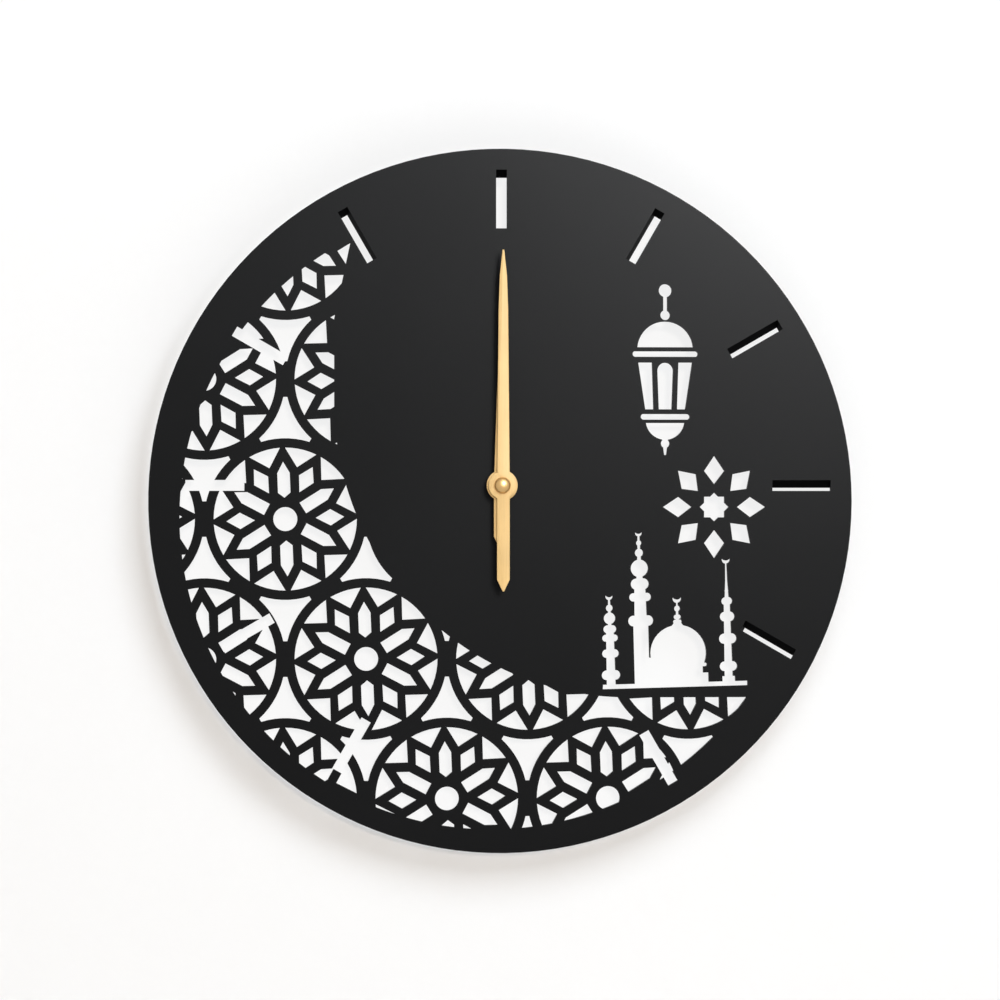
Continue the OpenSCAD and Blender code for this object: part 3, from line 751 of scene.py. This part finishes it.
class Turning:
    """A piece turned on a lathe: a ring that is drawn out along an axis and resized at each step."""

    SIDES: int = 96
    SHARP_EDGE: float = 35.0
    TILT: dict[Axis, Point] = {
        Axis.X: (0.0, QUARTER_TURN, 0.0),
        Axis.Y: (QUARTER_TURN, 0.0, 0.0),
    }

    def __init__(self, name: str, axis: Axis, centre: Vector, radius: float, place: float) -> None:
        """Starts with one ring.

        Args:
            name: Name of the piece.
            axis: The lathe's axis.
            centre: A point on the axis, in metres.
            radius: Radius of the ring.
            place: Where the ring stands along the axis.
        """
        self.axis = axis
        self.centre = centre.copy()
        self.centre[axis.value] = place
        self.radius = radius
        bpy.ops.object.select_all(action="DESELECT")
        bpy.ops.mesh.primitive_circle_add(
            vertices=self.SIDES, radius=radius, location=self.centre, rotation=self.TILT[axis]
        )
        self.obj = bpy.context.active_object
        self.obj.name = name
        self.obj.data.name = name
        fix_place(self.obj)
        bpy.ops.object.mode_set(mode="EDIT")
        bpy.ops.mesh.select_all(action="SELECT")

    def ring(self, radius: float, place: float) -> None:
        """Draws the last ring out.

        Args:
            radius: The new ring's radius.
            place: Where it stands along the axis.
        """
        move = Vector((0.0, 0.0, 0.0))
        move[self.axis.value] = place - self.centre[self.axis.value]
        bpy.ops.mesh.extrude_edges_move(TRANSFORM_OT_translate={"value": move})
        self.centre[self.axis.value] = place
        factor = [radius / self.radius] * 3
        factor[self.axis.value] = 1.0
        bpy.ops.transform.resize(value=factor, center_override=self.centre)
        self.radius = radius

    def finish(self) -> bpy.types.Object:
        """Closes both ends and turns the faces outwards.

        Returns:
            The finished piece.
        """
        bpy.ops.mesh.select_all(action="DESELECT")
        bpy.ops.mesh.select_non_manifold()
        bpy.ops.mesh.fill_holes(sides=0)
        bpy.ops.mesh.select_all(action="SELECT")
        bpy.ops.mesh.normals_make_consistent(inside=False)
        bpy.ops.object.mode_set(mode="OBJECT")
        smooth(self.obj, self.SHARP_EDGE)
        return self.obj


@dataclass
class Assembly(ABC):
    """Pieces that belong together, and the record of what was made."""

    made: list[str] = field(default_factory=list)

    @abstractmethod
    def build(self) -> None:
        """Makes the new pieces and dresses the rest."""

    def keep(
        self, obj: bpy.types.Object, part: Part, slot: str, material: bpy.types.Material, node: str
    ) -> None:
        """Gives a new piece its body and material, in place of a CAD node.

        Args:
            obj: The new piece.
            part: The body that it rides on.
            slot: The record's material slot; not used.
            material: Its material.
            node: The CAD node that it replaces.
        """
        obj.data.materials.clear()
        obj.data.materials.append(material)
        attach(obj, part.value)
        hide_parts(node)
        self.made.append(obj.name)

    def dress(self, material: bpy.types.Material, nodes: Iterable[str]) -> None:
        """Gives CAD nodes that stay in view a material.

        Args:
            material: The material.
            nodes: The nodes.
        """
        for name in nodes:
            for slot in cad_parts[name].material_slots:
                slot.material = material
            self.made.append(name)


@dataclass
class Dial(Assembly):
    """The pierced board."""

    def build(self) -> None:
        """Dresses the board."""
        self.dress(SatinBlack().material(), ["dial_plate"])


@dataclass
class Hands(Assembly):
    """The two hands and the domed nut that holds them."""

    edge: float = 0.22 * MM
    edge_facets: int = 2
    sharp_edge: float = 25.0
    foot_share: float = 0.93
    foot_edge: float = 0.1 * MM
    flange_share: float = 0.99
    flange_t: float = 0.5 * MM
    lip_share: float = 0.95
    lip_edge: float = 0.12 * MM
    neck_share: float = 0.86
    neck_l: float = 0.15 * MM
    crown_share: float = 0.94
    crown_gap: float = 0.2 * MM
    crown_rings: int = 14

    def build(self) -> None:
        """Makes and dresses the hands and the nut."""
        gold = HAND_GOLD.material()
        for node, part in (("minute_hand", Part.MINUTE), ("hour_hand", Part.HOUR)):
            blade = worked_copy(node, node.replace("hand", "blade"))
            chamfer_front(blade, self.edge, self.edge_facets)
            smooth(blade, self.sharp_edge)
            self.keep(blade, part, "hand_gold", gold, node)
        self.keep(self.nut(), Part.MINUTE, "hand_gold", POLISHED_GOLD.material(), "hand_nut")

    def nut(self) -> bpy.types.Object:
        """Turns the domed nut: a flange, a thin neck groove and a round crown.

        Returns:
            The nut.
        """
        low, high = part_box("hand_nut")
        radius = (high.x - low.x) / 2
        back = high.y
        neck = back - self.flange_t
        crown = neck - self.crown_gap
        lathe = Turning("domed_nut", Axis.Y, (low + high) / 2, radius * self.foot_share, back)
        for share, place in (
            (self.flange_share, back - self.foot_edge),
            (self.flange_share, neck + self.lip_edge),
            (self.lip_share, neck),
            (self.neck_share, neck),
            (self.neck_share, neck - self.neck_l),
            (self.crown_share, crown),
        ):
            lathe.ring(radius * share, place)
        for k in range(1, self.crown_rings):
            angle = QUARTER_TURN * k / self.crown_rings
            across = radius * self.crown_share * math.cos(angle)
            lathe.ring(across, crown - (crown - low.y) * math.sin(angle))
        return lathe.finish()


@dataclass
class Fixings(Assembly):
    """What clamps the movement to the board."""

    edge: float = 0.35 * MM
    edge_facets: int = 1

    def build(self) -> None:
        """Makes the chamfered nut and dresses the rest."""
        brass = TURNED_BRASS.material()
        nut = worked_copy("hex_nut", "clamp_nut")
        chamfer_front(nut, self.edge, self.edge_facets)
        self.keep(nut, Part.MOVEMENT, "plain_brass", brass, "hex_nut")
        self.dress(brass, ["threaded_bush", "fixing_washer", "minute_arbor"])
        self.dress(WASHER_RUBBER.material(), ["rubber_washer"])


@dataclass
class Cell(Assembly):
    """The dry cell: a wrapped can with a nub."""

    base_share: float = 0.72
    dish_share: float = 0.8
    dish: float = 0.1 * MM
    foot: float = 0.15 * MM
    foot_round: float = 0.25 * MM
    rim: float = 0.6 * MM
    rim_round: float = 0.15 * MM
    shoulder_round: float = 0.1 * MM
    seat_in: float = 0.96 * MM
    seat_dip: float = 0.3 * MM
    nub_l: float = 1.2 * MM
    nub_r: float = 2.7 * MM
    nub_edge: float = 0.3 * MM
    wrap_foot: float = 0.2 * MM
    wrap_end: float = 0.05 * MM
    band_l: float = 13 * MM

    def build(self) -> None:
        """Turns and dresses the cell."""
        low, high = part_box("battery")
        radius = (high.z - low.z) / 2
        foot = low.x
        shoulder = high.x - self.nub_l
        seat = shoulder - self.seat_dip
        lathe = Turning("dry_cell", Axis.X, (low + high) / 2, radius * self.base_share, foot)
        for reach, place in (
            (radius * self.dish_share, foot + self.dish),
            (radius - self.rim, foot + self.foot),
            (radius - self.rim_round, foot + self.foot_round),
            (radius, foot + self.rim),
            (radius, shoulder - self.rim),
            (radius - self.rim_round, shoulder - self.shoulder_round),
            (radius - self.rim, shoulder),
            (radius - self.seat_in, seat),
            (self.nub_r, seat),
            (self.nub_r, high.x - self.nub_edge),
            (self.nub_r - self.nub_edge, high.x),
        ):
            lathe.ring(reach, place)
        wrap = CellWrap(
            body_from=foot + self.wrap_foot,
            body_to=shoulder - self.wrap_end,
            band_from=shoulder - self.band_l,
        )
        self.keep(lathe.finish(), Part.MOVEMENT, "cell", wrap.material(), "battery")


@dataclass
class Movement(Assembly):
    """The case with its cover, eye and knob, and the train, motor and circuit inside."""

    sharp_edge: float = 30.0
    mark_depth: float = 0.5 * MM
    mark_w: float = 1.1 * MM
    mark_l: float = 5 * MM
    mark_inset: float = 5 * MM
    arrow_gap: float = 4.1 * MM
    arrow_sweep: float = math.radians(110.0)
    arrow_steps: int = 12
    head_r: float = 1.8 * MM
    head_depth: float = 0.6 * MM
    head_sides: int = 3

    def build(self) -> None:
        """Makes the cover and dresses every node of the movement."""
        black = CASE_BLACK.material()
        self.keep(self.cover(), Part.MOVEMENT, "case_black", black, "back_cover")
        self.dress(black, ["movement_case", "setting_knob"])
        self.dress(GEAR_WHITE.material(), [
            "hour_wheel", "motion_wheel", "centre_wheel", "third_wheel", "seconds_wheel",
            "intermediate_wheel", "rotor_pinion", "gear_bridge", "coil_bobbin",
        ])
        self.dress(PRESSED_STEEL.material(), [
            "hanger", "stator", "coil_core", "quartz_crystal", "positive_contact", "negative_contact",
        ])
        self.dress(SINTERED_MAGNET.material(), ["rotor_magnet"])
        self.dress(WoundWire().material(), ["coil_winding"])
        self.dress(CircuitLacquer().material(), ["circuit_board"])
        self.dress(SEALING_RESIN.material(), ["chip"])

    def cover(self) -> bpy.types.Object:
        """Cuts the pole marks and the turning arrow into a copy of the cover.

        Returns:
            The cover.
        """
        cover = worked_copy("back_cover", "marked_cover")
        low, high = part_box("back_cover")
        mark_z = low.z + self.mark_inset
        plus_x = high.x - self.mark_inset
        carve(cover, self.bar(plus_x, mark_z, self.mark_l, self.mark_w))
        carve(cover, self.bar(plus_x, mark_z, self.mark_w, self.mark_l))
        carve(cover, self.bar(-plus_x, mark_z, self.mark_l, self.mark_w))
        low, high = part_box("setting_knob")
        middle = Vector(((low.x + high.x) / 2, 0.0, (low.z + high.z) / 2))
        radius = (high.x - low.x) / 2 + self.arrow_gap
        carve(cover, self.arrow_bar(middle, radius))
        carve(cover, self.arrow_head(middle, radius))
        smooth(cover, self.sharp_edge)
        return cover

    def bar(self, x: float, z: float, width: float, height: float) -> bpy.types.Object:
        """A block that cuts one bar of a pole mark.

        Args:
            x: Middle of the bar.
            z: Middle of the bar.
            width: Size along X.
            height: Size along Z.

        Returns:
            The cutter.
        """
        bpy.ops.object.select_all(action="DESELECT")
        bpy.ops.mesh.primitive_cube_add(size=1.0, location=(x, 0.0, z))
        cutter = bpy.context.active_object
        cutter.scale = (width, 2 * self.mark_depth, height)
        fix_place(cutter)
        return cutter

    def arrow_bar(self, middle: Vector, radius: float) -> bpy.types.Object:
        """A curved bar that cuts the turning arrow round the knob's cup.

        Args:
            middle: Middle of the cup.
            radius: Radius of the bar's curve.

        Returns:
            The cutter.
        """
        bpy.ops.object.select_all(action="DESELECT")
        bpy.ops.mesh.primitive_plane_add(size=1.0, location=middle + Vector((radius, 0.0, 0.0)))
        cutter = bpy.context.active_object
        cutter.scale = (self.mark_w, 2 * self.mark_depth, 1.0)
        fix_place(cutter)
        bpy.ops.object.mode_set(mode="EDIT")
        bpy.ops.mesh.select_all(action="SELECT")
        bpy.ops.mesh.spin(
            steps=self.arrow_steps, angle=self.arrow_sweep, center=middle, axis=(0.0, 1.0, 0.0)
        )
        bpy.ops.mesh.select_all(action="SELECT")
        bpy.ops.mesh.remove_doubles(threshold=MERGE_GAP)
        bpy.ops.mesh.normals_make_consistent(inside=False)
        bpy.ops.object.mode_set(mode="OBJECT")
        return cutter

    def arrow_head(self, middle: Vector, radius: float) -> bpy.types.Object:
        """A pointed block that cuts the head at the end of the arrow's bar.

        Args:
            middle: Middle of the cup.
            radius: Radius of the bar's curve.

        Returns:
            The cutter.
        """
        sweep = self.arrow_sweep
        bpy.ops.object.select_all(action="DESELECT")
        bpy.ops.mesh.primitive_cylinder_add(
            vertices=self.head_sides,
            radius=self.head_r,
            depth=2 * self.head_depth,
            location=middle + radius * Vector((math.cos(sweep), 0.0, math.sin(sweep))),
            rotation=(QUARTER_TURN, -sweep, 0.0),
        )
        cutter = bpy.context.active_object
        fix_place(cutter)
        return cutter


@dataclass(frozen=True)
class Lamp:
    """A soft lamp that faces the clock, and that the camera doesn't see.

    A softbox has its side in metres as its spread, and its power in watts. A sun has an angle in degrees,
    watts per square metre, and a place that only says which way it shines from.
    """

    name: str
    kind: LampKind
    place: Point
    spread: float
    power: float
    tint: Colour = WHITE
    in_gloss: bool = True
    on_paint: bool = True

    def build(self) -> None:
        """Adds the lamp."""
        light = bpy.data.lights.new(self.name, self.kind.value)
        light.color = self.tint
        light.energy = self.power
        if self.kind is LampKind.SUN:
            light.angle = math.radians(self.spread)
        else:
            light.size = self.spread
        lamp = bpy.data.objects.new(self.name, light)
        lamp.location = self.place
        lamp.rotation_euler = (-Vector(self.place)).to_track_quat("-Z", "Y").to_euler()
        lamp.visible_camera = False
        lamp.visible_glossy = self.in_gloss
        lamp.visible_diffuse = self.on_paint
        bpy.context.scene.collection.objects.link(lamp)


@dataclass
class Studio:
    """Wall, floor, lamps and camera."""

    wall_gap: float = 0.15 * MM
    wall_side: float = 6.0
    wall_glow: float = 0.08
    floor_drop: float = 0.9
    floor_glow: float = 0.85
    # Painted light: the wall behind the board glows more, which washes out the board's shadow seen
    # through the holes
    glow_behind: float = 0.85
    glow_edge: tuple[float, float] = (150.4 * MM, 156 * MM)
    fill: float = 0.12
    backdrop: float = 0.95
    lamps: tuple[Lamp, ...] = (
        Lamp("key", LampKind.SOFTBOX, (0.37, -1.22, 0.79), spread=0.85, power=11.8, tint=COOL),
        Lamp(
            "wash", LampKind.SUN, (0.055, -1.0, 0.135), spread=6.0, power=1.42, tint=WARM, in_gloss=False
        ),
        Lamp("card", LampKind.SOFTBOX, (0.42, -1.5, 0.5), spread=0.4, power=20.5, on_paint=False),
        Lamp("rear", LampKind.SOFTBOX, (-0.7, 1.5, 0.9), spread=1.2, power=14.0),
    )
    camera_azimuth: float = math.radians(-3.0)
    camera_distance: float = 1.7
    aim_x: float = -0.6 * MM
    aim_z: float = 0.4 * MM
    seen_height: float = 426.2 * MM
    sensor_mm: float = 36.0

    def build(self) -> None:
        """Makes the whole stage."""
        self.wall()
        self.floor()
        self.world()
        for lamp in self.lamps:
            lamp.build()
        self.camera()
        bpy.context.scene.view_settings.view_transform = "Standard"

    def sheet(self, name: str, place: Point, turn: Point) -> bpy.types.Object:
        """Adds a broad flat sheet.

        Args:
            name: Its name.
            place: Its middle, in metres.
            turn: Its turns about X, Y and Z.

        Returns:
            The sheet.
        """
        bpy.ops.object.select_all(action="DESELECT")
        bpy.ops.mesh.primitive_plane_add(size=self.wall_side, location=place, rotation=turn)
        sheet = bpy.context.active_object
        sheet.name = name
        fix_place(sheet)
        return sheet

    def wall(self) -> None:
        """Makes the wall, which is clear from behind so that the clock's back can be seen and lit."""
        wall = self.sheet("wall", (0.0, self.wall_gap, 0.0), (QUARTER_TURN, 0.0, 0.0))
        shader = Plaster("wall_paint").shader()
        behind = shader.node("ShaderNodeNewGeometry", {}, {}, "Backfacing")
        shadow = shader.node("ShaderNodeLightPath", {}, {}, "Is Shadow Ray")
        gone = 1 - (1 - behind) * (1 - shadow)
        clear = shader.node("ShaderNodeBsdfTransparent", {}, {})
        lit = self.lit_paint(shader, self.board_glow(shader))
        both = shader.node("ShaderNodeMixShader", {}, {0: gone, 1: lit, 2: clear})
        shader.feed(shader.output.inputs["Surface"], both)
        wall.data.materials.append(shader.material)

    def floor(self) -> None:
        """Makes the floor, well below the clock."""
        floor = self.sheet("floor", (0.0, 0.0, -self.floor_drop), (0.0, 0.0, 0.0))
        shader = Plaster("floor_paint").shader()
        shader.feed(shader.output.inputs["Surface"], self.lit_paint(shader, self.floor_glow))
        floor.data.materials.append(shader.material)

    def lit_paint(self, shader: Shader, glow: Operand) -> Sock:
        """Paint that glows a little to the eye and in gloss, and still takes a soft shadow.

        Args:
            shader: The paint's shader.
            glow: Share of white light in what is seen of it.

        Returns:
            The mixed surface.
        """
        white = shader.node("ShaderNodeEmission", {}, {"Color": _opaque(WHITE), "Strength": 1.0})
        paint = Sock(shader, shader.principled.outputs[0])
        return shader.node("ShaderNodeMixShader", {}, {0: shader.seen() * glow, 1: paint, 2: white})

    def board_glow(self, shader: Shader) -> Sock:
        """Glow of the wall, stronger right behind the board, where it is painted light that lifts the
        board's shadow.

        Args:
            shader: The wall's shader.

        Returns:
            The share of white light.
        """
        low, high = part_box("dial_plate")
        points = {0: shader.place(), 1: (low + high) / 2}
        off = shader.node("ShaderNodeVectorMath", {"operation": "DISTANCE"}, points, 1)
        near, far = self.glow_edge
        ends = {"To Min": self.glow_behind, "To Max": self.wall_glow}
        spread = {"Value": off, "From Min": near, "From Max": far, **ends}
        return shader.node("ShaderNodeMapRange", {"interpolation_type": "SMOOTHSTEP"}, spread)

    def world(self) -> None:
        """Lights the room evenly, and shows a pale background to the eye and in gloss."""
        world = bpy.data.worlds.new("studio")
        bpy.context.scene.world = world
        world.use_nodes = True
        nodes = Nodes(world.node_tree)
        background = nodes.find("BACKGROUND")
        nodes.feed(background.inputs["Color"], _opaque(WHITE))
        strength = self.fill + nodes.seen() * (self.backdrop - self.fill)
        nodes.feed(background.inputs["Strength"], strength)

    def camera(self) -> None:
        """Sets the camera a little to the left, level with the board's middle."""
        low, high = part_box("dial_plate")
        target = (low + high) / 2 + Vector((self.aim_x, 0.0, self.aim_z))
        toward = Vector((math.sin(self.camera_azimuth), -math.cos(self.camera_azimuth), 0.0))
        data = bpy.data.cameras.new("camera")
        data.sensor_width = self.sensor_mm
        data.lens = self.sensor_mm * self.camera_distance / self.seen_height
        camera = bpy.data.objects.new("camera", data)
        camera.location = target + toward * self.camera_distance
        camera.rotation_euler = (-toward).to_track_quat("-Z", "Y").to_euler()
        bpy.context.scene.collection.objects.link(camera)
        bpy.context.scene.camera = camera


def main() -> None:
    """Builds the stage and the sub-assemblies in order, and reports each piece."""
    logging.basicConfig(level=logging.INFO, format="%(name)s: %(message)s")
    Studio().build()
    for assembly in (Dial(), Hands(), Fixings(), Cell(), Movement()):
        assembly.build()
        for name in assembly.made:
            LOG.info("%s: %s", type(assembly).__name__, name)


if __name__ == "__main__":
    main()
